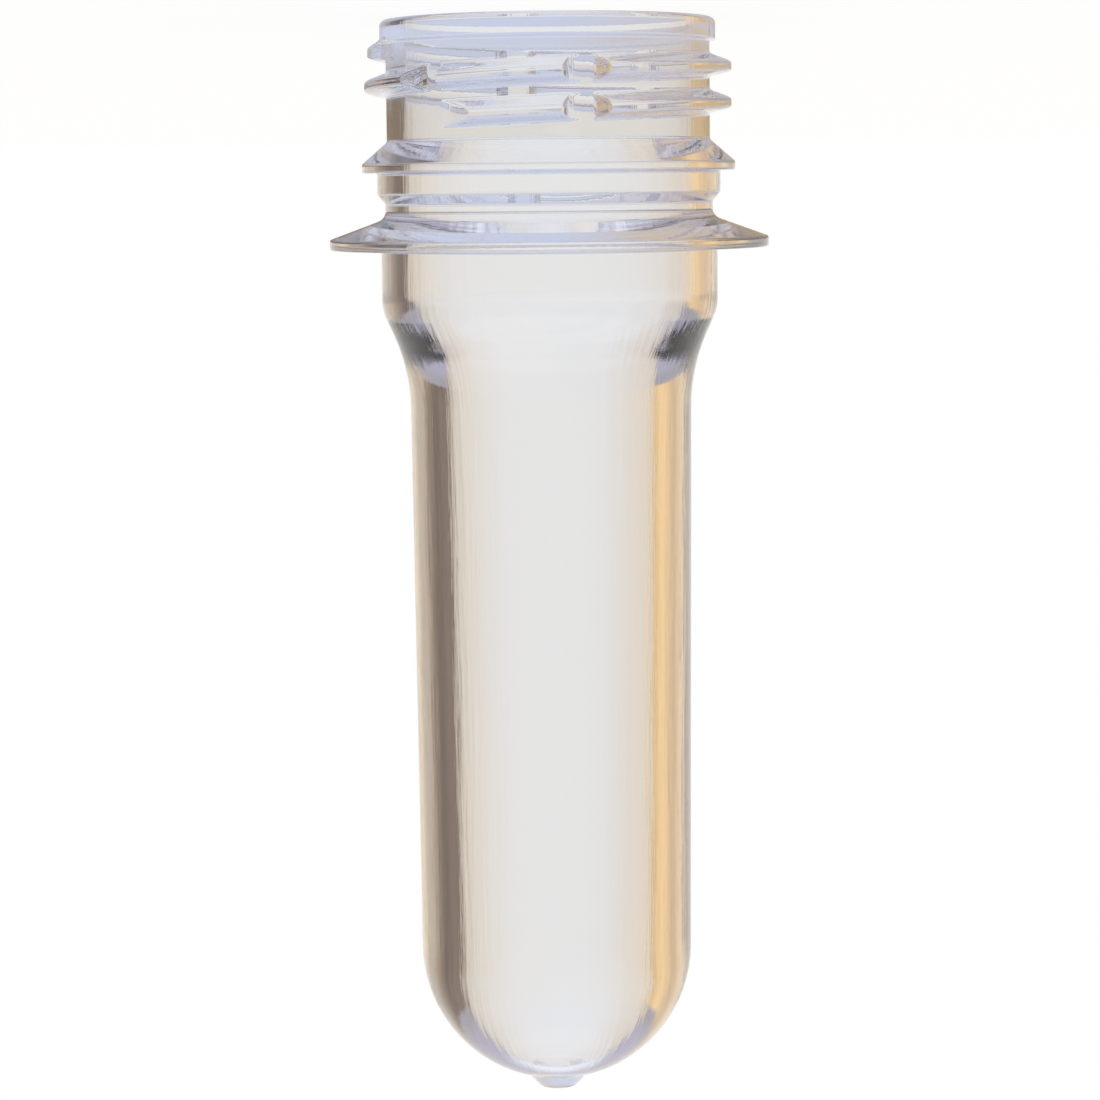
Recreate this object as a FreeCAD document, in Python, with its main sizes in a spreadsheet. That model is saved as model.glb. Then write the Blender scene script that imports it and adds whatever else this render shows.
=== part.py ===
"""Bottle preform with a 28 mm short-height screw neck, stood on its open mouth.

The sealing face of the mouth is z = 0 and the closed end points along +Z. Every size below drives
a cell of the sheet "sizes", and every sketch and feature of the body is bound to those cells.
"""
import FreeCAD, Part
import math
import os
from dataclasses import dataclass

import Sketcher

NODE = "preform"

# Driving sizes: name, value (millimetres, or degrees for an angle), meaning.
SIZES = [
    ("neck_bore_radius", 10.87, "straight bore of the neck"),
    ("mouth_bevel", 0.2, "inner edge of the sealing face"),
    ("finish_wall", 1.23, "wall between the bore and the root of the thread"),
    ("lip_step", 0.43, "plain band at the mouth, above the root"),
    ("lip_height", 1.7, "height of that band"),
    ("lip_bevel", 0.3, "outer edge of the sealing face"),
    ("thread_inset", 0.53, "from the lip band to the crest at azimuth zero"),
    ("thread_pitch", 2.7, "rise of one turn"),
    ("thread_depth", 1.62, "crest above the root"),
    ("thread_overlap", 0.4, "depth by which the thread is sunk into the neck wall"),
    ("crest_land", 0.78, "width of the crest between its two flanks"),
    ("crest_bevel", 0.2, "edges of the crest"),
    ("mouth_flank", 20.0, "lean of the flank that faces the mouth, degrees"),
    ("ring_flank", 13.0, "lean of the flank that faces the ring, degrees"),
    ("thread_start", -5.0, "azimuth where the thread leaves the neck wall, degrees"),
    ("thread_finish", -54.0, "azimuth where it runs out, two turns on, degrees"),
    ("ramp_sweep", 12.0, "azimuth in which an end climbs to full height, degrees"),
    ("vent_line", 105.7, "azimuth of the mould opening, degrees"),
    ("vent_spread", 27.4, "azimuth of a vent on each side of that line, degrees"),
    ("vent_floor", 1.96, "width of a vent at the root"),
    ("vent_flare", 26.0, "lean of the vent's sides, degrees"),
    ("bead_gap", 1.775, "from the last crest to the foot of the tamper-evident bead"),
    ("bead_rise", 1.65, "height of the bead's cone"),
    ("bead_depth", 1.9, "bead above the root"),
    ("bead_rim", 0.65, "height of the bead's rim"),
    ("bead_bevel", 0.2, "edge between the cone and the rim"),
    ("collar_depth", 0.785, "collar behind the bead, above the root"),
    ("collar_length", 1.57, "height of the collar"),
    ("collar_taper", 0.72, "height in which it narrows to the groove"),
    ("groove_depth", 0.21, "groove above the root"),
    ("groove_length", 1.105, "height of the groove"),
    ("groove_bevel", 0.45, "hollow between the groove and the support ring"),
    ("ring_radius", 16.5, "outside of the support ring"),
    ("ring_slope", 20.0, "slope of the ring's face towards the mouth, degrees"),
    ("ring_rim", 0.78, "height of the ring's rim"),
    ("ring_bevel", 0.15, "edges of the rim"),
    ("neck_wall", 1.78, "wall of the neck behind the ring"),
    ("neck_length", 4.5, "from the ring to the shoulder's first corner"),
    ("shoulder_length", 4.6, "from the shoulder's first corner to its second"),
    ("shoulder_bevel", 0.5, "easing of the first corner"),
    ("shoulder_blend", 0.57, "share of the slope that the second corner's rounding takes"),
    ("bore_length", 4.1, "from the ring to where the bore starts to narrow"),
    ("bore_taper", 4.9, "height in which the bore narrows"),
    ("bore_bevel", 0.5, "easing of the bore's first corner"),
    ("core_bevel", 1.5, "easing of its second corner"),
    ("core_radius", 7.95, "bore of the body below the shoulder"),
    ("core_draft", 0.47, "narrowing of the bore down to the closed end"),
    ("body_wall", 2.68, "wall of the body below the shoulder"),
    ("end_wall", 2.9, "wall of the body at the closed end"),
    ("base_wall", 1.53, "wall at the pole of the closed end"),
    ("body_length", 53.5, "from the ring to the centre of the rounded closed end"),
    ("gate_radius", 1.95, "moulding gate where it leaves the closed end"),
    ("gate_taper", 0.5, "narrowing of the gate to its flat tip"),
    ("gate_height", 0.84, "gate above the pole of the closed end"),
    ("gate_fillet", 1.2, "hollow around the gate"),
]

# Sizes that follow from the driving ones: name, formula in the sheet's own terms.
DERIVED = [
    # Radii, outwards from the bore.
    ("root_radius", "=neck_bore_radius + finish_wall"),
    ("mouth_radius", "=neck_bore_radius + mouth_bevel"),
    ("lip_radius", "=root_radius + lip_step"),
    ("lip_face_radius", "=lip_radius - lip_bevel"),
    ("crest_radius", "=root_radius + thread_depth"),
    ("flank_radius", "=crest_radius - crest_bevel"),
    ("bead_radius", "=root_radius + bead_depth"),
    ("cone_radius", "=bead_radius - bead_bevel"),
    ("collar_radius", "=root_radius + collar_depth"),
    ("groove_radius", "=root_radius + groove_depth"),
    ("slope_radius", "=groove_radius + groove_bevel"),
    ("ring_face_radius", "=ring_radius - ring_bevel"),
    ("neck_radius", "=neck_bore_radius + neck_wall"),
    ("shoulder_end_radius", "=core_radius + body_wall"),
    ("core_end_radius", "=core_radius - core_draft"),
    ("dome_radius", "=core_end_radius + end_wall"),
    ("gate_tip_radius", "=gate_radius - gate_taper"),
    # Heights above the sealing face.
    ("thread_first", "=lip_height + thread_inset"),
    ("thread_last", "=thread_first + thread_pitch * (2 + thread_finish / 360)"),
    ("bead_start", "=thread_last + bead_gap"),
    ("bead_shoulder", "=bead_start + bead_rise"),
    ("cone_end", "=bead_shoulder - bead_bevel * bead_rise / bead_depth"),
    ("bead_rim_start", "=bead_shoulder + bead_bevel"),
    ("bead_under", "=bead_shoulder + bead_rim"),
    ("collar_end", "=bead_under + collar_length"),
    ("groove_start", "=collar_end + collar_taper"),
    ("slope_foot", "=groove_start + groove_length"),
    ("groove_end", "=slope_foot - groove_bevel"),
    ("slope_start", "=slope_foot + groove_bevel * tan(ring_slope * 1 deg)"),
    ("ring_shoulder", "=slope_foot + (ring_radius - groove_radius) * tan(ring_slope * 1 deg)"),
    ("slope_end", "=ring_shoulder - ring_bevel * tan(ring_slope * 1 deg)"),
    ("rim_start", "=ring_shoulder + ring_bevel"),
    ("ring_under", "=ring_shoulder + ring_rim"),
    ("rim_end", "=ring_under - ring_bevel"),
    ("shoulder_top", "=ring_under + neck_length"),
    ("shoulder_end", "=shoulder_top + shoulder_length"),
    ("bore_end", "=ring_under + bore_length"),
    ("core_start", "=bore_end + bore_taper"),
    ("dome_centre", "=ring_under + body_length"),
    ("dome_pole", "=dome_centre + dome_radius"),
    ("core_pole", "=dome_pole - base_wall"),
    ("core_centre", "=core_pole - core_end_radius"),
    ("total_height", "=dome_pole + gate_height"),
    # Corners of the shoulder and of the narrowing bore, eased within their slopes.
    ("shoulder_drop", "=neck_radius - shoulder_end_radius"),
    ("shoulder_slope", "=sqrt(shoulder_drop ^ 2 + shoulder_length ^ 2)"),
    ("shoulder_turn", "=atan(shoulder_drop / shoulder_length)"),
    ("shoulder_end_round", "=shoulder_blend * shoulder_slope / tan(shoulder_turn / 2)"),
    ("neck_end", "=shoulder_top - shoulder_bevel"),
    ("shoulder_radius", "=neck_radius - shoulder_bevel * sin(shoulder_turn)"),
    ("shoulder_start", "=shoulder_top + shoulder_bevel * cos(shoulder_turn)"),
    ("bore_drop", "=neck_bore_radius - core_radius"),
    ("bore_turn", "=atan(bore_drop / bore_taper)"),
    ("straight_end", "=bore_end - bore_bevel"),
    ("taper_top_radius", "=neck_bore_radius - bore_bevel * sin(bore_turn)"),
    ("taper_top", "=bore_end + bore_bevel * cos(bore_turn)"),
    ("taper_foot_radius", "=core_radius + core_bevel * sin(bore_turn)"),
    ("taper_foot", "=core_start - core_bevel * cos(bore_turn)"),
    ("core_top", "=core_start + core_bevel"),
    # Section of the thread's ridge, which is wound from a little before its first end.
    ("ridge_lead", "=ramp_sweep / 2"),
    ("ridge_azimuth", "=thread_start - ridge_lead"),
    ("ridge_turns", "=2 + (thread_finish + ridge_lead - ridge_azimuth) / 360"),
    ("ridge_middle", "=thread_first + thread_pitch * ridge_azimuth / 360"),
    ("ridge_foot_radius", "=root_radius - thread_overlap"),
    ("ridge_depth", "=crest_radius - ridge_foot_radius"),
    ("crest_low", "=ridge_middle - crest_land / 2"),
    ("crest_high", "=ridge_middle + crest_land / 2"),
    ("land_low", "=crest_low + crest_bevel"),
    ("land_high", "=crest_high - crest_bevel"),
    ("flank_low", "=crest_low - crest_bevel * tan(mouth_flank * 1 deg)"),
    ("flank_high", "=crest_high + crest_bevel * tan(ring_flank * 1 deg)"),
    ("foot_low", "=crest_low - ridge_depth * tan(mouth_flank * 1 deg)"),
    ("foot_high", "=crest_high + ridge_depth * tan(ring_flank * 1 deg)"),
    # Cutters of the vents and of the thread's ends, and the gaps between turns where they stop.
    ("first_gap", "=thread_first + thread_pitch / 2"),
    ("last_gap", "=thread_last - thread_pitch / 2"),
    ("cutter_radius", "=crest_radius + thread_overlap"),
    ("cutter_depth", "=cutter_radius - root_radius"),
    ("vent_inner", "=vent_floor / 2 - thread_overlap * tan(vent_flare * 1 deg)"),
    ("vent_outer", "=vent_floor / 2 + cutter_depth * tan(vent_flare * 1 deg)"),
    ("vent_azimuth_1", "=vent_line - vent_spread"),
    ("vent_azimuth_2", "=vent_line + vent_spread"),
    ("vent_azimuth_3", "=vent_azimuth_1 + 180"),
    ("vent_azimuth_4", "=vent_azimuth_2 + 180"),
    ("ramp_reach", "=crest_radius * sin(ramp_sweep * 1 deg)"),
    ("ramp_grade", "=ramp_reach / (crest_radius * cos(ramp_sweep * 1 deg) - root_radius)"),
    ("ramp_inner", "=thread_overlap * ramp_grade"),
    ("ramp_outer", "=cutter_depth * ramp_grade"),
]


@dataclass(frozen=True)
class Corner:
    """A corner of an outline, placed and rounded by cells of the sheet.

    An empty across is the axis of revolution and an empty along the sealing face. A rounded corner
    gets an arc that touches both neighbours; where it names a centre, the arc stays centred on the
    axis at that height. The side after the corner is left out where an arc starts straight away.
    """
    across: str
    along: str
    rounding: str = ""
    centre: str = ""
    pinned: str = "xy"
    side_after: bool = True


def build_sheet(doc):
    """Write the driving and the derived sizes to a sheet."""
    sheet = doc.addObject("Spreadsheet::Sheet", "sizes")
    rows = [(name, str(value), meaning) for name, value, meaning in SIZES]
    rows += [(name, formula, "follows from the sizes above") for name, formula in DERIVED]
    for row, (name, content, meaning) in enumerate(rows, start=1):
        sheet.set(f"A{row}", name)
        sheet.set(f"B{row}", content)
        sheet.set(f"C{row}", meaning)
        sheet.setAlias(f"B{row}", name)
    doc.recompute()
    return sheet


def cell_value(sheet, cell):
    """Value of a cell whose name may follow a minus sign; zero where no cell is named."""
    if not cell:
        return 0.0
    sign = -1.0 if cell.startswith("-") else 1.0
    return sign * float(sheet.get(cell.lstrip("-")))


def origin_feature(body, role):
    """Plane or axis of the body's own origin."""
    return next(part for part in body.Origin.OriginFeatures if part.Role == role)


def new_sketch(body, name, role):
    """Add a sketch to the body on one of its own origin planes."""
    sketch = body.newObject("Sketcher::SketchObject", name)
    sketch.AttachmentSupport = [(origin_feature(body, role), "")]
    sketch.MapMode = "FlatFace"
    return sketch


def bind(sketch, constraint, cell):
    """Add a dimension to the sketch and tie it to a cell."""
    number = sketch.addConstraint(constraint)
    sign = "-" if cell.startswith("-") else ""
    sketch.setExpression(f"Constraints[{number}]", f"{sign}sizes.{cell.lstrip('-')}")


def place_point(sketch, sheet, geometry, position, corner):
    """Tie a point of the sketch to the corner's cells, as far as the corner is pinned."""
    places = (("x", "DistanceX", corner.across, -2), ("y", "DistanceY", corner.along, -1))
    for letter, kind, cell, axis in places:
        if letter not in corner.pinned:
            continue
        if cell:
            value = cell_value(sheet, cell)
            bind(sketch, Sketcher.Constraint(kind, -1, 1, geometry, position, value), cell)
        else:
            sketch.addConstraint(Sketcher.Constraint("PointOnObject", geometry, position, axis))


@dataclass(frozen=True)
class Rounding:
    """Arc that rounds a corner, with the points where an outline enters and leaves it."""
    entry: FreeCAD.Vector
    leave: FreeCAD.Vector
    radius: float
    shape: Part.Arc
    turns_left: bool


def touching_arc(before, corner, after, radius):
    """Round the corner between two neighbours with an arc that touches both sides."""
    to_before = (before - corner).normalize()
    to_after = (after - corner).normalize()
    half_angle = to_before.getAngle(to_after) / 2
    reach = radius / math.tan(half_angle)
    bisector = (to_before + to_after).normalize()
    middle = corner + bisector * (radius / math.sin(half_angle) - radius)
    entry = corner + to_before * reach
    leave = corner + to_after * reach
    turns_left = (corner - before).cross(after - corner).z > 0
    return Rounding(entry, leave, radius, Part.Arc(entry, middle, leave), turns_left)


@dataclass
class Link:
    """One arc or side of an outline, with the plain corner at its entry where there is one."""
    geometry: int
    entry: int
    leave: int
    plain_corner: Corner = None


def draw_outline(sketch, sheet, corners):
    """Draw a closed outline of straight sides and tangent arcs, every size of it tied to the sheet."""
    points = [FreeCAD.Vector(cell_value(sheet, c.across), cell_value(sheet, c.along), 0) for c in corners]
    neighbours = list(zip(points[-1:] + points[:-1], points, points[1:] + points[:1]))
    arcs = {}
    for index, corner in enumerate(corners):
        if corner.rounding:
            arcs[index] = touching_arc(*neighbours[index], cell_value(sheet, corner.rounding))

    links = []
    rounded = {}
    for index, corner in enumerate(corners):
        before = corners[index - 1]
        following = (index + 1) % len(corners)
        start = points[index]
        if index in arcs:
            start = arcs[index].leave
            geometry = sketch.addGeometry(arcs[index].shape, False)
            bind(sketch, Sketcher.Constraint("Radius", geometry, arcs[index].radius), corner.rounding)
            opens_plainly = not before.side_after and not before.rounding
            entry, leave = (1, 2) if arcs[index].turns_left else (2, 1)
            rounded[index] = len(links)
            links.append(Link(geometry, entry, leave, before if opens_plainly else None))
        if corner.side_after:
            finish = arcs[following].entry if following in arcs else points[following]
            geometry = sketch.addGeometry(Part.LineSegment(start, finish), False)
            links.append(Link(geometry, 1, 2, None if index in arcs else corner))

    for before, link in zip(links[-1:] + links[:-1], links):
        joint = "Coincident" if link.plain_corner else "Tangent"
        ends = (before.geometry, before.leave, link.geometry, link.entry)
        sketch.addConstraint(Sketcher.Constraint(joint, *ends))
        if link.plain_corner:
            place_point(sketch, sheet, link.geometry, link.entry, link.plain_corner)
    for index, number in rounded.items():
        corner = corners[index]
        if corner.centre:
            place_point(sketch, sheet, links[number].geometry, 3, Corner("", corner.centre))
            continue
        mark = sketch.addGeometry(Part.Point(points[index]), True)
        for link in (links[number - 1], links[(number + 1) % len(links)]):
            sketch.addConstraint(Sketcher.Constraint("PointOnObject", mark, 1, link.geometry))
        place_point(sketch, sheet, mark, 1, corner)


WALL = [
    # The bore, from the core's tip to the mouth.
    Corner("", "core_pole", pinned="x", side_after=False),
    Corner("core_end_radius", "core_pole", "core_end_radius", centre="core_centre"),
    Corner("core_radius", "core_top"),
    Corner("taper_foot_radius", "taper_foot"),
    Corner("taper_top_radius", "taper_top"),
    Corner("neck_bore_radius", "straight_end"),
    Corner("neck_bore_radius", "mouth_bevel"),
    Corner("mouth_radius", ""),
    # The finish, from the lip to the support ring.
    Corner("lip_face_radius", ""),
    Corner("lip_radius", "lip_bevel"),
    Corner("lip_radius", "lip_height"),
    Corner("root_radius", "lip_height"),
    Corner("root_radius", "bead_start"),
    Corner("cone_radius", "cone_end"),
    Corner("bead_radius", "bead_rim_start"),
    Corner("bead_radius", "bead_under"),
    Corner("collar_radius", "bead_under"),
    Corner("collar_radius", "collar_end"),
    Corner("groove_radius", "groove_start"),
    Corner("groove_radius", "groove_end"),
    Corner("slope_radius", "slope_start"),
    Corner("ring_face_radius", "slope_end"),
    Corner("ring_radius", "rim_start"),
    Corner("ring_radius", "rim_end"),
    Corner("ring_face_radius", "ring_under"),
    Corner("neck_radius", "ring_under"),
    # The body, from the support ring to the gate.
    Corner("neck_radius", "neck_end"),
    Corner("shoulder_radius", "shoulder_start"),
    Corner("shoulder_end_radius", "shoulder_end", "shoulder_end_round"),
    Corner("dome_radius", "dome_pole", "dome_radius", centre="dome_centre", side_after=False),
    Corner("gate_radius", "dome_pole", "gate_fillet", pinned="x"),
    Corner("gate_tip_radius", "total_height"),
    Corner("", "total_height"),
]
RIDGE = [
    Corner("ridge_foot_radius", "foot_low"),
    Corner("flank_radius", "flank_low"),
    Corner("crest_radius", "land_low"),
    Corner("crest_radius", "land_high"),
    Corner("flank_radius", "flank_high"),
    Corner("ridge_foot_radius", "foot_high"),
]
VENT = [
    Corner("ridge_foot_radius", "-vent_inner"),
    Corner("cutter_radius", "-vent_outer"),
    Corner("cutter_radius", "vent_outer"),
    Corner("ridge_foot_radius", "vent_inner"),
]
FIRST_RAMP = [
    Corner("ridge_foot_radius", "-ramp_reach"),
    Corner("cutter_radius", "-ramp_reach"),
    Corner("cutter_radius", "ramp_outer"),
    Corner("ridge_foot_radius", "-ramp_inner"),
]
LAST_RAMP = [
    Corner("ridge_foot_radius", "ramp_inner"),
    Corner("cutter_radius", "-ramp_outer"),
    Corner("cutter_radius", "ramp_reach"),
    Corner("ridge_foot_radius", "ramp_reach"),
]


def turn_about_axis(sketch, turn_axis, azimuth):
    """Turn an attached sketch about the preform's axis, which is turn_axis in the sketch's own frame."""
    sketch.AttachmentOffset = FreeCAD.Placement(FreeCAD.Vector(), FreeCAD.Rotation(turn_axis, 0))
    sketch.setExpression("AttachmentOffset.Rotation.Angle", f"sizes.{azimuth} * 1 deg")


def add_thread(body, sheet):
    """Wind the ridge of the thread, a little longer than needed at both ends."""
    sketch = new_sketch(body, "ridge_section", "XZ_Plane")
    draw_outline(sketch, sheet, RIDGE)
    turn_about_axis(sketch, FreeCAD.Vector(0, 1, 0), "ridge_azimuth")
    thread = body.newObject("PartDesign::AdditiveHelix", "thread")
    thread.Profile = (sketch, [""])
    thread.ReferenceAxis = (origin_feature(body, "Z_Axis"), [""])
    thread.Mode = "pitch-turns-angle"
    thread.LeftHanded = False
    thread.setExpression("Pitch", "sizes.thread_pitch")
    thread.setExpression("Turns", "sizes.ridge_turns")


def cut_thread(body, sheet, name, outline, azimuth, low, high):
    """Cut a prism out of the thread at an azimuth, between two heights; an empty low is the mouth."""
    sketch = new_sketch(body, name + "_section", "XY_Plane")
    draw_outline(sketch, sheet, outline)
    turn_about_axis(sketch, FreeCAD.Vector(0, 0, 1), azimuth)
    cut = body.newObject("PartDesign::Pocket", name)
    cut.Profile = (sketch, [""])
    cut.Reversed = True
    cut.setExpression("Length", f"sizes.{high}")
    if low:
        sketch.setExpression("AttachmentOffset.Base.z", f"sizes.{low}")
        cut.setExpression("Length", f"sizes.{high} - sizes.{low}")


def add_wall(body, sheet):
    """Revolve the whole wall of the preform, which joins the turns of the thread into one solid."""
    sketch = new_sketch(body, "wall_section", "XZ_Plane")
    draw_outline(sketch, sheet, WALL)
    wall = body.newObject("PartDesign::Revolution", "wall")
    wall.Profile = (sketch, [""])
    wall.ReferenceAxis = (origin_feature(body, "Z_Axis"), [""])
    wall.Angle = 360
    return wall


def build_preform(doc, sheet):
    """Build the preform: the thread with its cut ends and vents first, then the wall."""
    body = doc.addObject("PartDesign::Body", NODE)
    body.Label = NODE
    body.AllowCompound = True
    add_thread(body, sheet)
    cut_thread(body, sheet, "first_ramp", FIRST_RAMP, "thread_start", "", "first_gap")
    cut_thread(body, sheet, "last_ramp", LAST_RAMP, "thread_finish", "last_gap", "bead_start")
    for number in range(1, 5):
        cut_thread(body, sheet, f"vent_{number}", VENT, f"vent_azimuth_{number}", "", "bead_start")
    body.Tip = add_wall(body, sheet)
    body.Placement = FreeCAD.Placement()
    return body


def check_document(doc):
    """Stop where an object is in error or holds no valid shape."""
    for item in doc.Objects:
        faults = {"Invalid", "Error"}.intersection(item.State)
        if faults:
            raise RuntimeError(f"{item.Label} is in state {sorted(faults)}")
        if hasattr(item, "Shape") and (item.Shape.isNull() or not item.Shape.isValid()):
            raise RuntimeError(f"{item.Label} has no valid shape")


def main():
    """Build the document, check it and write the part."""
    os.makedirs("parts", exist_ok=True)
    doc = FreeCAD.newDocument("preform_design")
    sheet = build_sheet(doc)
    body = build_preform(doc, sheet)
    doc.recompute()
    check_document(doc)
    solid = body.Shape
    print(f"{body.Label}: {len(solid.Solids)} solid, {len(solid.Faces)} faces, {solid.Volume:.0f} mm3")
    print("box", solid.BoundBox)
    solid.exportStep(f"parts/{body.Label}.step")


main()
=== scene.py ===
"""A clear bottle preform with its screw neck, stood on its open mouth in a pale studio.

The preform is one moulded piece. Its wall is turned from one section, and the thread is a ridge that climbs
round the neck, cut by four vents and run out in a ramp at each end.
"""

import logging
import math
from dataclasses import dataclass, field
from enum import Enum

import bpy
from mathutils import Matrix, Vector


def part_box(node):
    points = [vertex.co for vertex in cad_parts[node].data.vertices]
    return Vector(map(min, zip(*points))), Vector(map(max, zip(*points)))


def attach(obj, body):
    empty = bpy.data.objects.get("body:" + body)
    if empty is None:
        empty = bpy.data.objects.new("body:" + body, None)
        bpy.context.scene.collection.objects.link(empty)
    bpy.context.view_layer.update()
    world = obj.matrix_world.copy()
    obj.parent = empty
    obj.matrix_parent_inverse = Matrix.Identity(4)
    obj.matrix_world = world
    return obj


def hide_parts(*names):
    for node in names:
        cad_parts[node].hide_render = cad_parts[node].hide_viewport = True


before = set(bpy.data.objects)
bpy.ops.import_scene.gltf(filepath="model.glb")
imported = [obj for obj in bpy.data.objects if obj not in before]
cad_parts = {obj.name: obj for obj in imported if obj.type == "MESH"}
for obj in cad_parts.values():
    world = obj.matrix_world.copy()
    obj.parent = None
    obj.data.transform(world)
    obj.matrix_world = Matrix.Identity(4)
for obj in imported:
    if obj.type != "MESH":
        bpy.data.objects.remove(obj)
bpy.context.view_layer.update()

MM = 0.001
NODE = "preform"
Colour = tuple[float, float, float]
log = logging.getLogger("preform")


# ---------------------------------------------------------------------------------------------------------
# Node arithmetic
# ---------------------------------------------------------------------------------------------------------


@dataclass(frozen=True)
class Wire:
    """A number that runs through a node tree and takes part in ordinary arithmetic."""

    tree: bpy.types.NodeTree
    socket: bpy.types.NodeSocket

    def math(self, operation: str, *others: "Wire | float", clamp: bool = False) -> "Wire":
        """Put a math node after this wire.

        Args:
            operation: The math node's operation.
            others: The node's second and third input.
            clamp: Whether the result stays between zero and one.

        Returns:
            The result.
        """
        node = self.tree.nodes.new("ShaderNodeMath")
        node.operation = operation
        node.use_clamp = clamp
        for entry, value in zip(node.inputs, (self, *others)):
            if isinstance(value, Wire):
                self.tree.links.new(value.socket, entry)
            else:
                entry.default_value = value
        return Wire(self.tree, node.outputs[0])

    def __add__(self, other: "Wire | float") -> "Wire":
        """Sum of two numbers."""
        return self.math("ADD", other)

    def __sub__(self, other: "Wire | float") -> "Wire":
        """Difference of two numbers."""
        return self.math("SUBTRACT", other)

    def __mul__(self, other: "Wire | float") -> "Wire":
        """Product of two numbers."""
        return self.math("MULTIPLY", other)

    def __truediv__(self, other: "Wire | float") -> "Wire":
        """Quotient of two numbers."""
        return self.math("DIVIDE", other)

    def between(self, lowest: "Wire | float", highest: "Wire | float") -> "Wire":
        """This number, held between two others."""
        return self.math("MAXIMUM", lowest).math("MINIMUM", highest)


def inputs_of(tree: bpy.types.NodeTree) -> dict[str, Wire]:
    """The tree's own inputs, by name."""
    node = tree.nodes.new("NodeGroupInput")
    return {socket.name: Wire(tree, socket) for socket in node.outputs if socket.name}


def axes_of(tree: bpy.types.NodeTree, place: bpy.types.NodeSocket) -> list[Wire]:
    """The three parts of a place or a direction."""
    split = tree.nodes.new("ShaderNodeSeparateXYZ")
    tree.links.new(place, split.inputs[0])
    return [Wire(tree, socket) for socket in split.outputs]


def blended(tree: bpy.types.NodeTree, share: Wire, first: Colour | bpy.types.NodeSocket,
            second: Colour | bpy.types.NodeSocket) -> bpy.types.NodeSocket:
    """Blend two colours.

    Args:
        tree: The tree of the material or the world.
        share: Share of the second colour.
        first: A colour or the socket that gives it.
        second: The other one.

    Returns:
        The blended colour.
    """
    node = tree.nodes.new("ShaderNodeMix")
    node.data_type = "RGBA"
    tree.links.new(share.socket, node.inputs["Factor"])
    for entry, colour in zip((node.inputs[6], node.inputs[7]), (first, second)):
        if isinstance(colour, tuple):
            entry.default_value = (*colour, 1.0)
        else:
            tree.links.new(colour, entry)
    return node.outputs[2]


# ---------------------------------------------------------------------------------------------------------
# The section of the wall
# ---------------------------------------------------------------------------------------------------------


class Row(Enum):
    """How a row of the wall runs round the neck."""

    PLAIN = 0
    THREADED = 1
    CLIMBING = 2


@dataclass(frozen=True)
class Station:
    """One point of the section, which becomes a row of the wall. Lengths in millimetres."""

    radius: float
    height: float
    row: Row = Row.PLAIN


@dataclass(frozen=True)
class Bend:
    """A corner of the section with its rounding. Lengths in millimetres."""

    radius: float
    height: float
    rounding: float = 0.0
    steps: int = 4
    row: Row = Row.PLAIN


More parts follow.
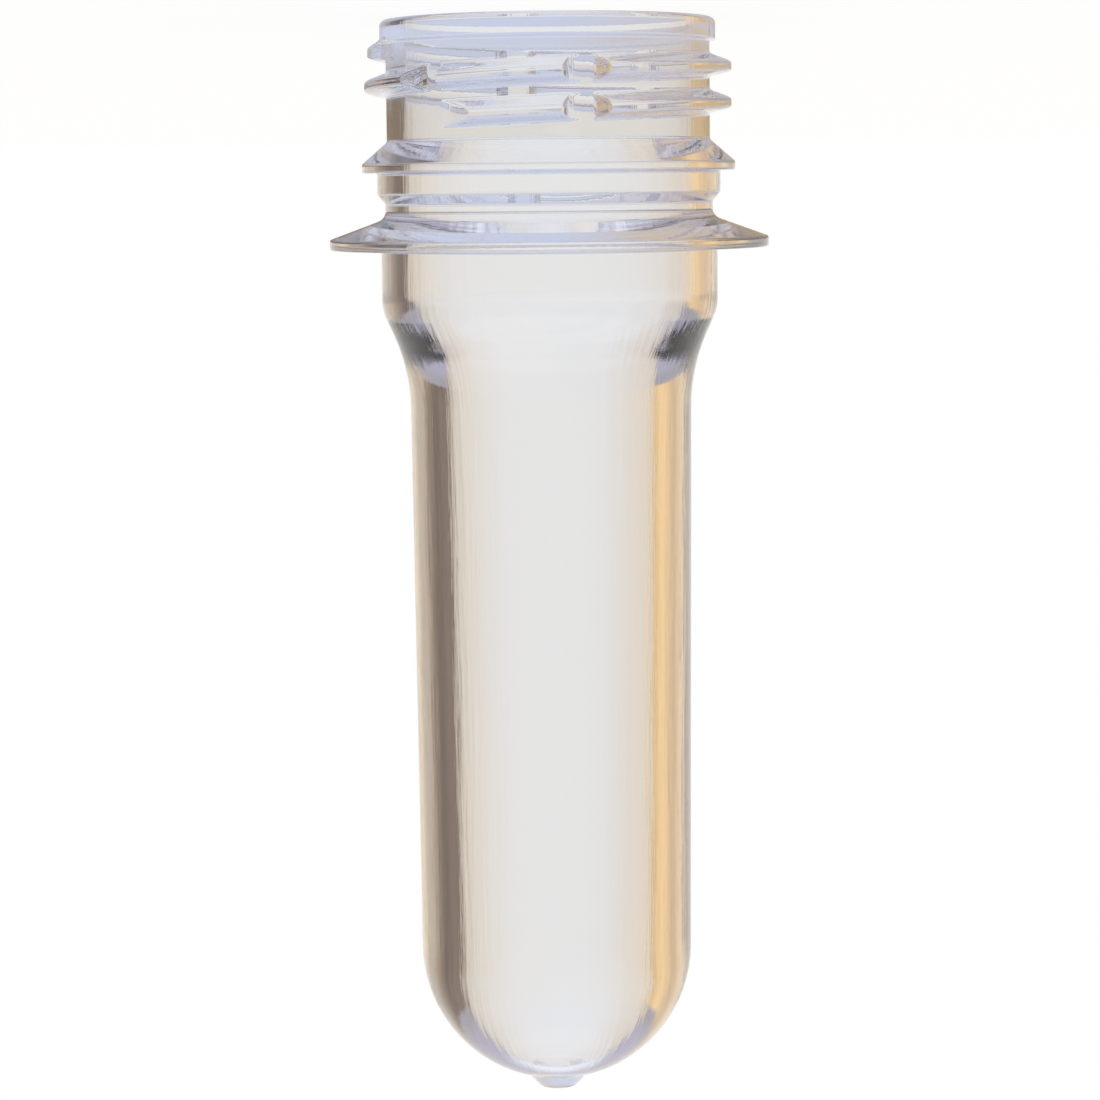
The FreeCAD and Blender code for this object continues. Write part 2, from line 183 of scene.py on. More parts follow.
@dataclass(frozen=True)
class Section:
    """The preform's section, from the tip of the core round the mouth to the gate, in millimetres."""

    total_height: float
    bore: float = 10.87
    lip: float = 12.53
    root: float = 12.1
    bead: float = 14.0
    collar: float = 12.885
    groove: float = 12.31
    ring: float = 16.5
    neck: float = 12.65
    body: float = 10.63
    core: float = 7.95
    core_end: float = 7.48
    dome: float = 10.38
    gate: float = 1.95
    gate_tip: float = 1.45
    gate_height: float = 0.84
    base_wall: float = 1.53
    lip_height: float = 1.7
    bead_foot: float = 9.0
    bead_top: float = 10.65
    bead_under: float = 11.3
    collar_end: float = 12.87
    groove_start: float = 13.59
    ring_foot: float = 14.695
    ring_top: float = 16.22
    ring_under: float = 17.0
    shoulder_top: float = 21.5
    shoulder_end: float = 26.1
    taper_top: float = 21.1
    taper_end: float = 26.0
    fine_edge: float = 0.15
    soft_edge: float = 0.3
    lip_edge: float = 0.45
    step_root: float = 0.13
    groove_root: float = 0.8
    ring_edge: float = 0.22
    bore_rounding: float = 3.0
    core_rounding: float = 9.0
    shoulder_rounding: float = 3.0
    body_rounding: float = 14.0
    gate_fillet: float = 1.2
    gate_side: float = 225.0
    margin: float = 0.05

    def bent(self, bends: list[Bend]) -> list[Station]:
        """Round the corners between the first and the last point of a line.

        Args:
            bends: The line's corners, of which the first and the last are its ends.

        Returns:
            The line's points, with one more on each straight just outside a rounding.
        """
        stations = [Station(bends[0].radius, bends[0].height, bends[0].row)]
        for before, bend, after in zip(bends, bends[1:], bends[2:]):
            corner = Vector((bend.radius, bend.height))
            back = (Vector((before.radius, before.height)) - corner).normalized()
            forth = (Vector((after.radius, after.height)) - corner).normalized()
            half = back.angle(forth) / 2
            reach = bend.rounding / math.tan(half)
            centre = corner + (back + forth).normalized() * bend.rounding / math.sin(half)
            start, end = corner + back * reach - centre, corner + forth * reach - centre
            turn = math.pi - 2 * half
            points = [corner + back * (reach + self.margin)]
            for step in range(bend.steps + 1):
                share = step / bend.steps
                blend = start * math.sin((1 - share) * turn) + end * math.sin(share * turn)
                points.append(centre + blend / math.sin(turn))
            points.append(corner + forth * (reach + self.margin))
            stations += [Station(point.x, point.y, bend.row) for point in points]
        stations.append(Station(bends[-1].radius, bends[-1].height, bends[-1].row))
        return stations

    def cap(self, radius: float, centre: float, start: float, end: float, steps: int) -> list[Station]:
        """Points along an arc that is centred on the axis.

        Args:
            radius: Radius of the arc.
            centre: Height of its centre.
            start: Angle of its first point above the horizontal, in degrees.
            end: Angle of its last point.
            steps: Number of steps between them.

        Returns:
            The points.
        """
        angles = [math.radians(start + (end - start) * step / steps) for step in range(steps + 1)]
        return [Station(radius * math.cos(a), centre + radius * math.sin(a)) for a in angles]

    def inside(self) -> list[Station]:
        """The bore, from the tip of the core to the sealing face."""
        pole = self.total_height - self.gate_height - self.base_wall
        centre = pole - self.core_end
        tip = self.cap(self.core_end, centre, 90, 0, 30)
        draft = (self.core - self.core_end) / (centre - self.taper_end)
        wall = [Bend(self.core_end + draft * (centre - z), z) for z in (centre - 12, centre - 28)]
        bore = self.bent([
            wall[-1],
            Bend(self.core, self.taper_end, self.core_rounding, 12),
            Bend(self.bore, self.taper_top, self.bore_rounding, 10),
            Bend(self.bore, 10.0)])
        mouth = self.bent([
            Bend(self.bore, 4.0),
            Bend(self.bore, 0.0, self.soft_edge, 5),
            Bend((self.bore + self.lip) / 2, 0.0)])
        return tip + [Station(wall[0].radius, wall[0].height)] + bore + mouth

    def band(self) -> list[Station]:
        """The plain band at the lip, with its step down to the root of the thread."""
        outer = self.bent([
            Bend((self.bore + self.lip) / 2 + 0.1, 0.0),
            Bend(self.lip, 0.0, self.lip_edge, 6),
            Bend(self.lip, 0.7)])
        rows = [Station(self.lip, 0.95 + 0.06 * step, Row.THREADED) for step in range(9)]
        step = self.bent([
            Bend(self.lip, 1.48, row=Row.THREADED),
            Bend(self.lip, self.lip_height, self.fine_edge, 4, Row.THREADED),
            Bend(self.root, self.lip_height, self.step_root, 4, Row.THREADED),
            Bend(self.root, self.lip_height + 0.25, row=Row.THREADED)])
        return outer + rows + step

    def finish(self) -> list[Station]:
        """The bead, the collar, the groove and the support ring."""
        return self.bent([
            Bend(self.root, self.bead_foot - 0.4),
            Bend(self.root, self.bead_foot, self.soft_edge, 4),
            Bend(self.bead, self.bead_top, self.soft_edge, 5),
            Bend(self.bead, self.bead_under, self.fine_edge, 4),
            Bend(self.collar, self.bead_under, self.fine_edge, 4),
            Bend(self.collar, self.collar_end, self.soft_edge, 4),
            Bend(self.groove, self.groove_start, self.soft_edge, 4),
            Bend(self.groove, self.ring_foot, self.groove_root, 6),
            Bend(self.ring, self.ring_top, self.ring_edge, 5),
            Bend(self.ring, self.ring_under, self.ring_edge, 6),
            Bend(self.neck, self.ring_under, self.fine_edge, 4),
            Bend(self.neck, 19.5)])

    def outside(self) -> list[Station]:
        """The body, from the neck to the tip of the gate."""
        pole = self.total_height - self.gate_height
        centre = pole - self.dome
        body = self.bent([
            Bend(self.neck, 20.3),
            Bend(self.neck, self.shoulder_top, self.shoulder_rounding, 8),
            Bend(self.body, self.shoulder_end, self.body_rounding, 12),
            Bend(self.dome + (self.body - self.dome) * 0.7, 40.0)])
        middle = Station(self.dome + (self.body - self.dome) * 0.3, 57.0)
        foot = math.degrees(math.acos((self.gate + self.gate_fillet) / (self.dome + self.gate_fillet)))
        dome = self.cap(self.dome, centre, 0, foot, 36)
        rise = self.total_height - centre
        middle_of_fillet = Vector((self.dome + self.gate_fillet, 0.0))
        middle_of_fillet.rotate(Matrix.Rotation(math.radians(foot), 2))
        angles = [math.radians(angle) for angle in self.spread(foot + 180, self.gate_side, 6)[1:]]
        hollow = [Station(middle_of_fillet.x + self.gate_fillet * math.cos(angle),
                          centre + middle_of_fillet.y + self.gate_fillet * math.sin(angle))
                  for angle in angles]
        tip = self.bent([
            Bend(hollow[-1].radius, hollow[-1].height),
            Bend(self.gate_tip, centre + rise, self.fine_edge, 4),
            Bend(0.0, centre + rise)])
        return body + [middle] + dome + hollow + tip[1:]

    @staticmethod
    def spread(start: float, end: float, steps: int) -> list[float]:
        """Evenly spaced numbers from start to end."""
        return [start + (end - start) * step / steps for step in range(steps + 1)]


# ---------------------------------------------------------------------------------------------------------
# The thread
# ---------------------------------------------------------------------------------------------------------


@dataclass(frozen=True)
class Thread:
    """The ridge that climbs round the neck, in millimetres and degrees."""

    pitch: float = 2.7
    first: float = 2.23
    root: float = 12.1
    crest: float = 13.72
    land_to_mouth: float = 0.377
    land_to_ring: float = 0.403
    flank_to_mouth: float = 20.0
    flank_to_ring: float = 13.0
    crest_blend: float = 0.7
    root_blend: float = 0.55
    cut_blend: float = 0.3
    start: float = -5.0
    finish: float = 666.0
    ramp: float = 12.0
    mould_line: float = 105.7
    vent_spread: float = 27.4
    vent_floor: float = 1.96
    vent_flare: float = 26.0
    zone_start: float = 1.97
    zone_end: float = 8.58
    cut_near: float = 3.6
    cut_far: float = 8.8
    end_reach: float = 2.4
    fine_step: float = 0.4
    plain_step: float = 2.0
    offsets: tuple[float, ...] = (
        -1.35, -1.22, -1.15, -1.08, -1.02, -0.97, -0.92, -0.86, -0.74, -0.6, -0.53, -0.48, -0.43, -0.38,
        -0.32, -0.25, -0.17, 0.0, 0.19, 0.27, 0.34, 0.4, 0.45, 0.5, 0.57, 0.66, 0.72, 0.77, 0.83, 0.9,
        0.98, 1.08, 1.2)

    def rows(self) -> list[Station]:
        """The rows that climb with the thread, each written at azimuth zero."""
        heights = [self.first + self.pitch * turn + offset
                   for turn in range(-2, 4) for offset in self.offsets]
        inside = [z for z in heights if self.zone_start - self.pitch < z < self.zone_end]
        return [Station(self.root, z, Row.CLIMBING) for z in inside]

    def azimuths(self) -> list[float]:
        """Azimuths of the wall's columns in degrees, close together where the thread is cut."""
        vents = [self.mould_line + half_turn + side * self.vent_spread
                 for half_turn in (0, 180) for side in (-1, 1)]
        cuts = [(azimuth - self.cut_far, azimuth - self.cut_near) for azimuth in vents]
        cuts += [(azimuth + self.cut_near, azimuth + self.cut_far) for azimuth in vents]
        for end in (self.start, self.start + self.ramp, self.finish, self.finish - self.ramp):
            before = (end - self.end_reach) % 360
            cuts.append((before, before + self.end_reach * 2))
        azimuths = [0.0]
        while azimuths[-1] < 360:
            here = azimuths[-1]
            close = any(start <= here + turn < end for start, end in cuts for turn in (0, 360))
            azimuths.append(here + (self.fine_step if close else self.plain_step))
        azimuths[-1] = 360.0
        return azimuths


class WallTree:
    """The node tree that turns a section into the preform's wall and raises the thread on it."""

    LENGTHS = ("pitch", "first", "root", "crest", "land_to_mouth", "land_to_ring", "crest_blend",
               "root_blend", "cut_blend", "vent_floor", "zone_start", "zone_end")
    ANGLES = ("flank_to_mouth", "flank_to_ring", "start", "finish", "ramp", "mould_line", "vent_spread",
              "vent_flare")
    RAMP_SPAN = (-0.3, 0.55)
    VENT_SPAN = (0.0, 0.26)
    WELD = 0.0008

    def __init__(self) -> None:
        """Build the tree with a named input for each size of the thread."""
        self.tree = bpy.data.node_groups.new("turned wall with thread", "GeometryNodeTree")
        face = self.tree.interface
        face.new_socket("Section", in_out="INPUT", socket_type="NodeSocketGeometry")
        face.new_socket("Columns", in_out="INPUT", socket_type="NodeSocketObject")
        for name in self.LENGTHS + self.ANGLES:
            face.new_socket(name, in_out="INPUT", socket_type="NodeSocketFloat")
        face.new_socket("Finish", in_out="INPUT", socket_type="NodeSocketMaterial")
        face.new_socket("Wall", in_out="OUTPUT", socket_type="NodeSocketGeometry")
        self.sizes = inputs_of(self.tree)
        self.build()

    def node(self, kind: str, **settings: object) -> bpy.types.Node:
        """Add a node and set its properties."""
        node = self.tree.nodes.new(kind)
        for name, value in settings.items():
            setattr(node, name, value)
        return node

    def link(self, source: bpy.types.NodeSocket, target: bpy.types.NodeSocket) -> None:
        """Connect two sockets."""
        self.tree.links.new(source, target)

    def count(self, geometry: bpy.types.NodeSocket) -> Wire:
        """Number of points of a mesh."""
        node = self.node("GeometryNodeAttributeDomainSize", component="MESH")
        self.link(geometry, node.inputs[0])
        return Wire(self.tree, node.outputs["Point Count"])

    def sampled(self, geometry: bpy.types.NodeSocket, attribute: str, index: Wire) -> Wire:
        """Read an attribute of another mesh's point."""
        name = self.node("GeometryNodeInputNamedAttribute", data_type="FLOAT")
        name.inputs["Name"].default_value = attribute
        node = self.node("GeometryNodeSampleIndex", data_type="FLOAT", domain="POINT")
        self.link(geometry, node.inputs["Geometry"])
        self.link(name.outputs["Attribute"], node.inputs["Value"])
        self.link(index.socket, node.inputs["Index"])
        return Wire(self.tree, node.outputs["Value"])

    def ridge(self, azimuth: Wire, height: Wire) -> Wire:
        """Radius of the ridge at a point of the neck.

        Args:
            azimuth: The point's azimuth in radians.
            height: Its height.

        Returns:
            The radius, which falls below the root beside the ridge.
        """
        size = self.sizes
        turn = azimuth / math.tau
        climb = (height - size["first"]) / size["pitch"] - turn
        number = climb.math("ROUND")
        offset = (climb - number) * size["pitch"]
        along = (turn + number) * math.tau
        to_mouth = (offset + size["land_to_mouth"]) / size["flank_to_mouth"].math("TANGENT") + size["crest"]
        to_ring = (size["land_to_ring"] - offset) / size["flank_to_ring"].math("TANGENT") + size["crest"]
        profile = to_mouth.math("MINIMUM", to_ring).math("SMOOTH_MIN", size["crest"], size["crest_blend"])
        for distance in (along - size["start"], size["finish"] - along):
            profile = profile.math("SMOOTH_MIN", self.ramp(distance), size["cut_blend"])
        return profile.math("SMOOTH_MIN", self.vent(azimuth), size["cut_blend"])

    def ramp(self, distance: Wire) -> Wire:
        """Radius of the slanted face at an end of the thread, by the angle gone from that end."""
        size = self.sizes
        angle = distance.between(*self.RAMP_SPAN)
        spread = size["root"] * size["crest"] * size["ramp"].math("SINE")
        rest = size["crest"] * (size["ramp"] - angle).math("SINE")
        return spread / (size["root"] * angle.math("SINE") + rest)

    def vent(self, azimuth: Wire) -> Wire:
        """Radius of the flared side of the nearest vent."""
        size = self.sizes
        fold = (azimuth - size["mould_line"] + math.pi / 2).math("FLOORED_MODULO", math.pi) - math.pi / 2
        angle = (fold.math("ABSOLUTE") - size["vent_spread"]).math("ABSOLUTE").between(*self.VENT_SPAN)
        flare = size["vent_flare"].math("TANGENT")
        reach = size["root"] * flare - size["vent_floor"] / 2.0
        return reach / (flare * angle.math("COSINE") - angle.math("SINE"))

    def build(self) -> None:
        """Lay out the tree from the grid of rows and columns to the finished wall."""
        section = self.sizes["Section"].socket
        columns = self.node("GeometryNodeObjectInfo", transform_space="ORIGINAL")
        self.link(self.sizes["Columns"].socket, columns.inputs["Object"])
        columns = columns.outputs["Geometry"]
        rows = self.count(section)
        grid = self.node("GeometryNodeMeshGrid")
        self.link(self.count(columns).socket, grid.inputs["Vertices X"])
        self.link(rows.socket, grid.inputs["Vertices Y"])
        index = Wire(self.tree, self.node("GeometryNodeInputIndex").outputs[0])
        row = index.math("FLOORED_MODULO", rows)
        azimuth = self.sampled(columns, "azimuth", (index / rows).math("FLOOR"))
        radius = self.sampled(section, "radius", row)
        written = self.sampled(section, "height", row)
        kind = self.sampled(section, "row", row)
        climbing = kind.math("COMPARE", float(Row.CLIMBING.value), 0.1)
        threaded = kind.math("GREATER_THAN", 0.5)

        size = self.sizes
        climbed = (written + size["pitch"] * azimuth / math.tau).between(size["zone_start"], size["zone_end"])
        height = climbed * climbing + written * (climbing * -1.0 + 1.0)
        raised = radius.math("SMOOTH_MAX", self.ridge(azimuth, height), size["root_blend"])
        surface = raised * threaded + radius * (threaded * -1.0 + 1.0)

        place = self.node("ShaderNodeCombineXYZ")
        self.link((surface * azimuth.math("COSINE")).socket, place.inputs["X"])
        self.link((surface * azimuth.math("SINE")).socket, place.inputs["Y"])
        self.link(height.socket, place.inputs["Z"])
        moved = self.node("GeometryNodeSetPosition")
        self.link(grid.outputs["Mesh"], moved.inputs["Geometry"])
        self.link(place.outputs[0], moved.inputs["Position"])
        merged = self.node("GeometryNodeMergeByDistance")
        merged.inputs["Distance"].default_value = self.WELD * MM
        self.link(moved.outputs[0], merged.inputs["Geometry"])
        smooth = self.node("GeometryNodeSetShadeSmooth")
        self.link(merged.outputs[0], smooth.inputs["Geometry"])
        real = self.node("GeometryNodeRealizeInstances")
        self.link(smooth.outputs[0], real.inputs[0])
        finish = self.node("GeometryNodeSetMaterial")
        self.link(real.outputs[0], finish.inputs["Geometry"])
        self.link(self.sizes["Finish"].socket, finish.inputs["Material"])
        self.link(finish.outputs[0], self.node("NodeGroupOutput").inputs[0])

    def apply(self, piece: bpy.types.Object, thread: Thread, columns: bpy.types.Object,
              material: bpy.types.Material) -> bpy.types.Mesh:
        """Run the tree on a section.

        Args:
            piece: The object that holds the section.
            thread: Sizes of the thread.
            columns: The object that holds the columns' azimuths.
            material: The wall's material.

        Returns:
            The wall as a plain mesh.
        """
        modifier = piece.modifiers.new("turned wall", "NODES")
        modifier.node_group = self.tree
        values = {name: getattr(thread, name) * MM for name in self.LENGTHS}
        values |= {name: math.radians(getattr(thread, name)) for name in self.ANGLES}
        values |= {"Columns": columns, "Finish": material}
        for item in self.tree.interface.items_tree:
            if item.in_out == "INPUT" and item.name in values:
                modifier[item.identifier] = values[item.name]
        piece.update_tag()
        graph = bpy.context.evaluated_depsgraph_get()
        return bpy.data.meshes.new_from_object(piece.evaluated_get(graph), depsgraph=graph)


# ---------------------------------------------------------------------------------------------------------
# Finishes
# ---------------------------------------------------------------------------------------------------------


@dataclass(frozen=True)
class ClearPet:
    """Clear moulded plastic: faint streaks drawn along the wall, and a grain that dulls its polish in places.

    streaks is their fineness round the wall and draw their fineness along it, in turns a metre; grain is the
    fineness of the dull spots, haze what they add to the roughness, and relief the depth of the streaks.
    """

    tint: Colour = (0.975, 0.985, 0.99)
    index: float = 1.575
    roughness: float = 0.008
    haze: float = 0.012
    streaks: float = 22.0
    draw: float = 6.0
    grain: float = 900.0
    relief: float = 0.000012
    axis_gap: float = 0.0002

    def material(self) -> bpy.types.Material:
        """Build the material."""
        material = bpy.data.materials.new("clear_pet")
        material.use_nodes = True
        tree = material.node_tree
        shader = tree.nodes["Principled BSDF"]
        shader.inputs["Base Color"].default_value = (*self.tint, 1.0)
        shader.inputs["IOR"].default_value = self.index
        shader.inputs["Transmission Weight"].default_value = 1.0
        place = tree.nodes.new("ShaderNodeTexCoord")
        across, ahead, up = axes_of(tree, place.outputs["Object"])
        radius = (across * across + ahead * ahead).math("SQRT") + self.axis_gap
        drawn = tree.nodes.new("ShaderNodeCombineXYZ")
        for socket, wire in zip(drawn.inputs, (across / radius, ahead / radius, up * self.draw)):
            tree.links.new(wire.socket, socket)
        streaks = self.noise(tree, drawn.outputs[0], self.streaks)
        grain = self.noise(tree, place.outputs["Object"], self.grain)
        tree.links.new((grain * self.haze + self.roughness).socket, shader.inputs["Roughness"])
        bump = tree.nodes.new("ShaderNodeBump")
        bump.inputs["Strength"].default_value = 1.0
        bump.inputs["Distance"].default_value = self.relief
        tree.links.new(streaks.socket, bump.inputs["Height"])
        tree.links.new(bump.outputs[0], shader.inputs["Normal"])
        return material

    @staticmethod
    def noise(tree: bpy.types.NodeTree, place: bpy.types.NodeSocket, scale: float) -> Wire:
        """Soft noise from zero to one.

        Args:
            tree: The material's tree.
            place: The place at which it is read.
            scale: Its fineness.

        Returns:
            The noise.
        """
        node = tree.nodes.new("ShaderNodeTexNoise")
        node.inputs["Scale"].default_value = scale
        node.inputs["Detail"].default_value = 3.0
        tree.links.new(place, node.inputs["Vector"])
        return Wire(tree, node.outputs[0])


@dataclass(frozen=True)
class PaleFloor:
    """Pale sheet under the preform, lit from behind.

    The camera sees it white. Clear plastic shows it glowing in painted reflections: a cool glow near the
    preform, warm on one side, and the plain tone of the studio further out, where the wall also mirrors a
    painted dark and golden side.
    """

    colour: Colour = (0.85, 0.85, 0.87)
    roughness: float = 0.9
    backlight: float = 0.9
    white: Colour = (1.04, 1.04, 1.04)
    cool: Colour = (0.62, 0.67, 0.84)
    warm: Colour = (0.62, 0.5, 0.4)
    warm_reach: float = 0.03
    plain: Colour = (0.85, 0.82, 0.79)
    dark: Colour = (0.2, 0.15, 0.11)
    golden: Colour = (0.62, 0.45, 0.25)
    near_reach: float = 0.03
    far_reach: float = 0.16

    def material(self) -> bpy.types.Material:
        """Build the material, which shows white to the camera apart from the preform's shadow, and glows with
        painted reflection colours through the plastic.
        """
        material = bpy.data.materials.new("pale_floor")
        material.use_nodes = True
        tree = material.node_tree
        shader = tree.nodes["Principled BSDF"]
        shader.inputs["Base Color"].default_value = (*self.colour, 1.0)
        shader.inputs["Roughness"].default_value = self.roughness
        path = tree.nodes.new("ShaderNodeLightPath")
        direct = Wire(tree, path.outputs["Is Camera Ray"])
        seen = direct + Wire(tree, path.outputs["Is Glossy Ray"])
        seen = seen.math("ADD", Wire(tree, path.outputs["Is Transmission Ray"]), clamp=True)
        mirrored = Wire(tree, path.outputs["Glossy Depth"]).math("GREATER_THAN", 0.5)
        glow = tree.nodes.new("ShaderNodeEmission")
        # painted reflection: the floor glows white to the camera, but in painted colours to rays that come
        # through or off the plastic
        tree.links.new(blended(tree, direct, self.painted_reflection(tree, mirrored), self.white), glow.inputs["Color"])
        mix = tree.nodes.new("ShaderNodeMixShader")
        tree.links.new((seen * self.backlight).socket, mix.inputs[0])
        tree.links.new(shader.outputs[0], mix.inputs[1])
        tree.links.new(glow.outputs[0], mix.inputs[2])
        tree.links.new(mix.outputs[0], tree.nodes["Material Output"].inputs["Surface"])
        return material

    def painted_reflection(self, tree: bpy.types.NodeTree, mirrored: Wire) -> bpy.types.NodeSocket:
        """Painted reflection: colour that the floor glows with where clear plastic shows it, in place of the
        white.

        Args:
            tree: The material's tree.
            mirrored: One where the plastic mirrors the floor, zero where it is seen straight through.

        Returns:
            The colour.
        """
        place = tree.nodes.new("ShaderNodeTexCoord")
        across, ahead, _ = axes_of(tree, place.outputs["Object"])
        # painted reflection colours: a cool and a warm glow near the preform, a plain tone or a dark and a
        # golden side further out
        near = blended(tree, (across / -self.warm_reach).between(0.0, 1.0), self.cool, self.warm)
        side = blended(tree, (across / -self.far_reach + 0.5).between(0.0, 1.0), self.dark, self.golden)
        far = blended(tree, mirrored, self.plain, side)
        reach = (across * across + ahead * ahead).math("SQRT") - self.near_reach
        away = (reach / (self.far_reach - self.near_reach)).between(0.0, 1.0)
        return blended(tree, away, near, far)


# ---------------------------------------------------------------------------------------------------------
# Pieces
# ---------------------------------------------------------------------------------------------------------


@dataclass
class Preform:
    """The moulded preform."""

    section: Section
    thread: Thread = field(default_factory=Thread)
    finish: ClearPet = field(default_factory=ClearPet)

    def points(self, name: str, values: dict[str, list[float]]) -> bpy.types.Object:
        """Make an object whose points only carry numbers.

        Args:
            name: The object's name.
            values: The numbers of each attribute, one for each point.

        Returns:
            The object.
        """
        mesh = bpy.data.meshes.new(name)
        mesh.vertices.add(len(next(iter(values.values()))))
        for attribute, numbers in values.items():
            mesh.attributes.new(attribute, "FLOAT", "POINT").data.foreach_set("value", numbers)
        piece = bpy.data.objects.new(name, mesh)
        bpy.context.scene.collection.objects.link(piece)
        return piece

    def build(self) -> bpy.types.Object:
        """Turn the wall, raise the thread and dress the piece.

        Returns:
            The finished piece.
        """
        stations = self.section.inside() + self.section.band() + self.thread.rows()
        stations += self.section.finish() + self.section.outside()
        outline = self.points("preform_section", {
            "radius": [s.radius * MM for s in stations],
            "height": [s.height * MM for s in stations],
            "row": [float(s.row.value) for s in stations]})
        columns = self.points("preform_columns", {
            "azimuth": [math.radians(azimuth) for azimuth in self.thread.azimuths()]})
        wall = WallTree().apply(outline, self.thread, columns, self.finish.material())
        for helper in (outline, columns):
            bpy.data.objects.remove(helper)
        wall.name = "clear_preform"
        piece = bpy.data.objects.new("clear_preform", wall)
        bpy.context.scene.collection.objects.link(piece)
        log.info("%s: %d rows, %d columns, %d faces", piece.name, len(stations), len(self.thread.azimuths()),
                 len(wall.polygons))
        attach(piece, "root")
        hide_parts(NODE)
        return piece


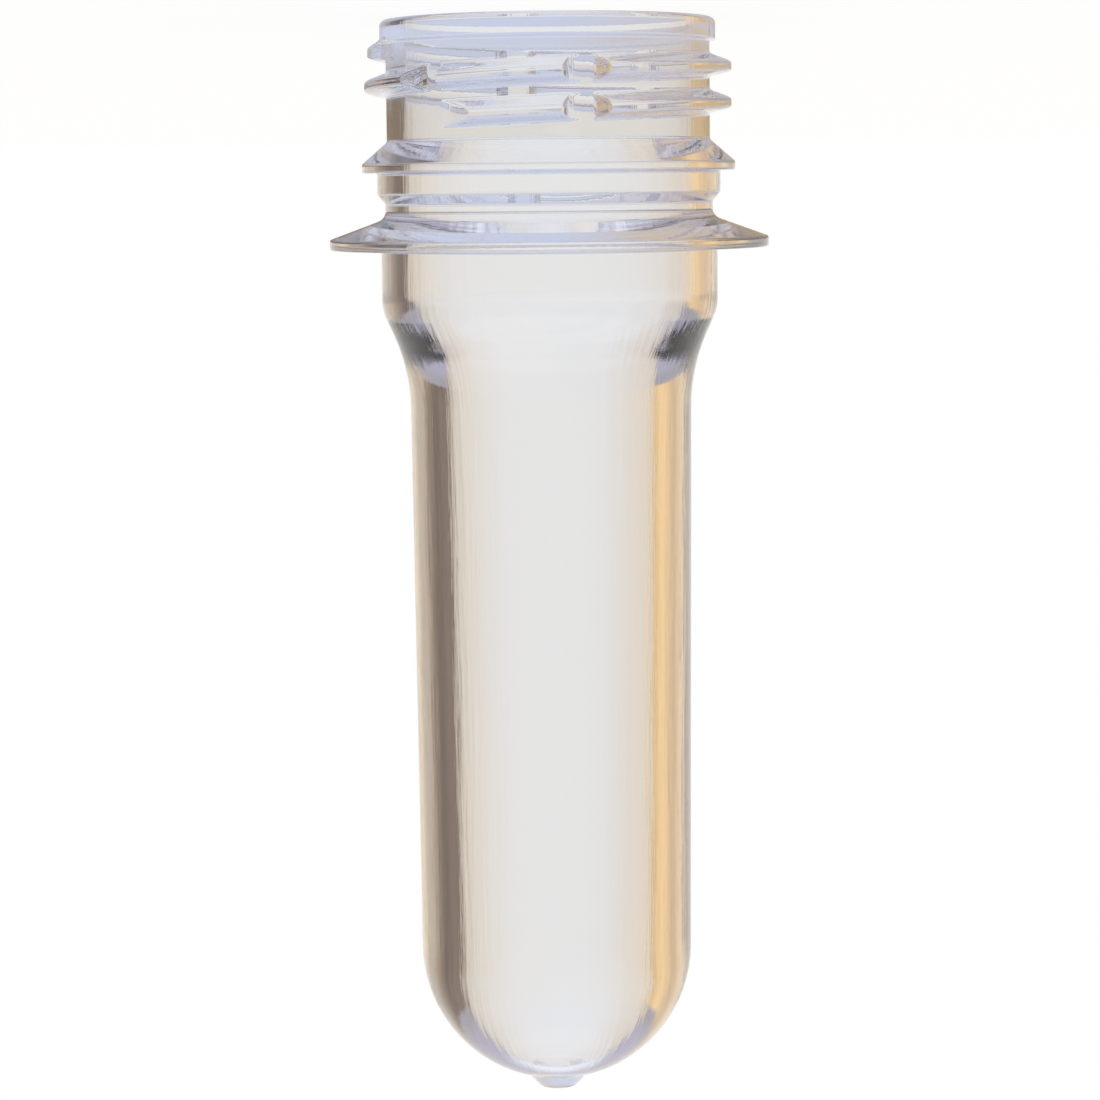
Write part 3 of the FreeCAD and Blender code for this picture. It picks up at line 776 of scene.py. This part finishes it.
@dataclass
class Studio:
    """Pale floor, soft light all round and the camera.

    backdrop is what is seen straight through the wall and room is what the wall mirrors, each as pairs of an
    azimuth from the camera's line of sight, in degrees, and a colour. tiers are what the wall mirrors higher
    up: the sine of the height at which each begins, the blur of its edge and its colour. window is what the
    outer face alone mirrors.
    """

    distance: float = 0.231
    eye_height: float = 0.011925
    pitch: float = 6.909
    roll: float = 0.614
    lens: float = 99.9
    sensor: float = 36.0
    shift: float = -0.0025
    nearest: float = 0.01
    floor_size: float = 1.6
    backdrop: tuple[tuple[float, Colour], ...] = (
        (-180, (0.8, 0.8, 0.8)), (-60, (0.8, 0.6, 0.35)), (-45, (0.85, 0.72, 0.5)),
        (-32, (0.95, 0.82, 0.67)), (-15, (0.86, 0.79, 0.72)), (-6, (0.87, 0.86, 0.86)),
        (6, (0.87, 0.86, 0.86)), (15, (0.84, 0.79, 0.73)), (32, (0.75, 0.68, 0.6)),
        (45, (0.5, 0.42, 0.35)), (60, (0.25, 0.2, 0.16)), (180, (0.8, 0.8, 0.8)))
    room: tuple[tuple[float, Colour], ...] = (
        (-180, (0.5, 0.45, 0.4)), (-70, (0.6, 0.4, 0.2)), (-53, (0.95, 0.65, 0.32)), (-32, (0.6, 0.4, 0.22)),
        (-13, (0.9, 0.68, 0.42)), (-3, (0.55, 0.44, 0.3)), (3, (0.3, 0.25, 0.2)), (13, (0.42, 0.34, 0.28)),
        (28, (0.23, 0.15, 0.1)), (43, (0.09, 0.05, 0.03)), (58, (0.2, 0.14, 0.11)), (80, (0.1, 0.07, 0.05)),
        (180, (0.5, 0.45, 0.4)))
    tiers: tuple[tuple[float, float, Colour], ...] = (
        (0.31, 0.03, (0.34, 0.32, 0.37)), (0.42, 0.12, (0.4, 0.38, 0.5)), (0.72, 0.15, (0.85, 0.88, 1.0)))
    window: Colour = (1.0, 0.97, 0.92)
    white: Colour = (1.0, 1.0, 1.0)

    def build(self) -> None:
        """Set the floor, the light and the camera."""
        self.lay_floor()
        self.light()
        self.place_camera()

    def lay_floor(self) -> None:
        """Lay the floor that the preform stands on."""
        half = self.floor_size / 2
        mesh = bpy.data.meshes.new("floor")
        corners = [(-half, -half, 0), (half, -half, 0), (half, half, 0), (-half, half, 0)]
        mesh.from_pydata(corners, [], [(0, 1, 2, 3)])
        floor = bpy.data.objects.new("floor", mesh)
        floor.data.materials.append(PaleFloor().material())
        bpy.context.scene.collection.objects.link(floor)
        log.info("floor: %.1f m wide", self.floor_size)

    def light(self) -> None:
        """Light the preform by the world alone: a pale backdrop, and the room that its wall mirrors."""
        world = bpy.data.worlds.new("studio")
        bpy.context.scene.world = world
        world.use_nodes = True
        tree = world.node_tree
        place = tree.nodes.new("ShaderNodeTexCoord")
        across, ahead, up = axes_of(tree, place.outputs["Generated"])
        around = across.math("ARCTAN2", ahead) / math.tau + 0.5
        path = tree.nodes.new("ShaderNodeLightPath")
        mirrored = Wire(tree, path.outputs["Glossy Depth"]).math("GREATER_THAN", 0.5)
        inside = Wire(tree, path.outputs["Transmission Depth"]).math("GREATER_THAN", 0.5)
        camera = Wire(tree, path.outputs["Is Camera Ray"])
        seen = Wire(tree, path.outputs["Is Transmission Ray"]) + Wire(tree, path.outputs["Is Glossy Ray"])

        backdrop = self.ramp(tree, around, self.backdrop)
        room = self.ramp(tree, around, self.room)
        for start, blur, tone in self.tiers:
            room = blended(tree, ((up - start) / blur).between(0.0, 1.0), room, tone)
        colour = blended(tree, inside, self.window, room)
        colour = blended(tree, mirrored * seen, backdrop, colour)
        colour = blended(tree, camera, colour, self.white)
        tree.links.new(colour, tree.nodes["Background"].inputs["Color"])

    @staticmethod
    def ramp(tree: bpy.types.NodeTree, position: Wire,
             stops: tuple[tuple[float, Colour], ...]) -> bpy.types.NodeSocket:
        """Colours round the horizon.

        Args:
            tree: The world's tree.
            position: Place round the horizon, from zero to one.
            stops: Pairs of an azimuth from the camera's line of sight, in degrees, and a colour.

        Returns:
            The colour.
        """
        node = tree.nodes.new("ShaderNodeValToRGB")
        elements = node.color_ramp.elements
        for azimuth, colour in stops[1:-1]:
            elements.new(azimuth / 360 + 0.5).color = (*colour, 1.0)
        for element, (azimuth, colour) in ((elements[0], stops[0]), (elements[-1], stops[-1])):
            element.position = azimuth / 360 + 0.5
            element.color = (*colour, 1.0)
        tree.links.new(position.socket, node.inputs[0])
        return node.outputs["Color"]

    def place_camera(self) -> None:
        """Place the camera, rolled over so that the mouth is up in its view."""
        pitch = math.radians(self.pitch)
        roll = math.radians(self.roll)
        ahead = Vector((0.0, math.cos(pitch), math.sin(pitch)))
        right = Vector((-1.0, 0.0, 0.0))
        down = Vector((0.0, -math.sin(pitch), math.cos(pitch)))
        across = (right * math.cos(roll) + down * math.sin(roll)).normalized()
        below = (down * math.cos(roll) - right * math.sin(roll)).normalized()
        camera = bpy.data.objects.new("camera", bpy.data.cameras.new("camera"))
        camera.data.lens = self.lens
        camera.data.sensor_width = self.sensor
        camera.data.shift_x = self.shift
        camera.data.clip_start = self.nearest
        turn = Matrix((across, -below, -ahead)).transposed().to_4x4()
        camera.matrix_world = Matrix.Translation((0.0, -self.distance, self.eye_height)) @ turn
        bpy.context.scene.collection.objects.link(camera)
        bpy.context.scene.camera = camera


def set_render(bounces: int = 32, glossy_bounces: int = 24) -> None:
    """Plain view transform and enough bounces for a thick clear wall.

    Args:
        bounces: Bounces in all, and through clear plastic.
        glossy_bounces: Bounces off its faces.
    """
    scene = bpy.context.scene
    scene.view_settings.view_transform = "Standard"
    scene.cycles.max_bounces = bounces
    scene.cycles.transmission_bounces = bounces
    scene.cycles.glossy_bounces = glossy_bounces


def main() -> None:
    """Build the preform and its studio."""
    logging.basicConfig(level=logging.INFO, format="%(name)s: %(message)s")
    low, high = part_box(NODE)
    Preform(Section(total_height=(high[2] - low[2]) / MM)).build()
    Studio().build()
    set_render()


if __name__ == "__main__":
    main()
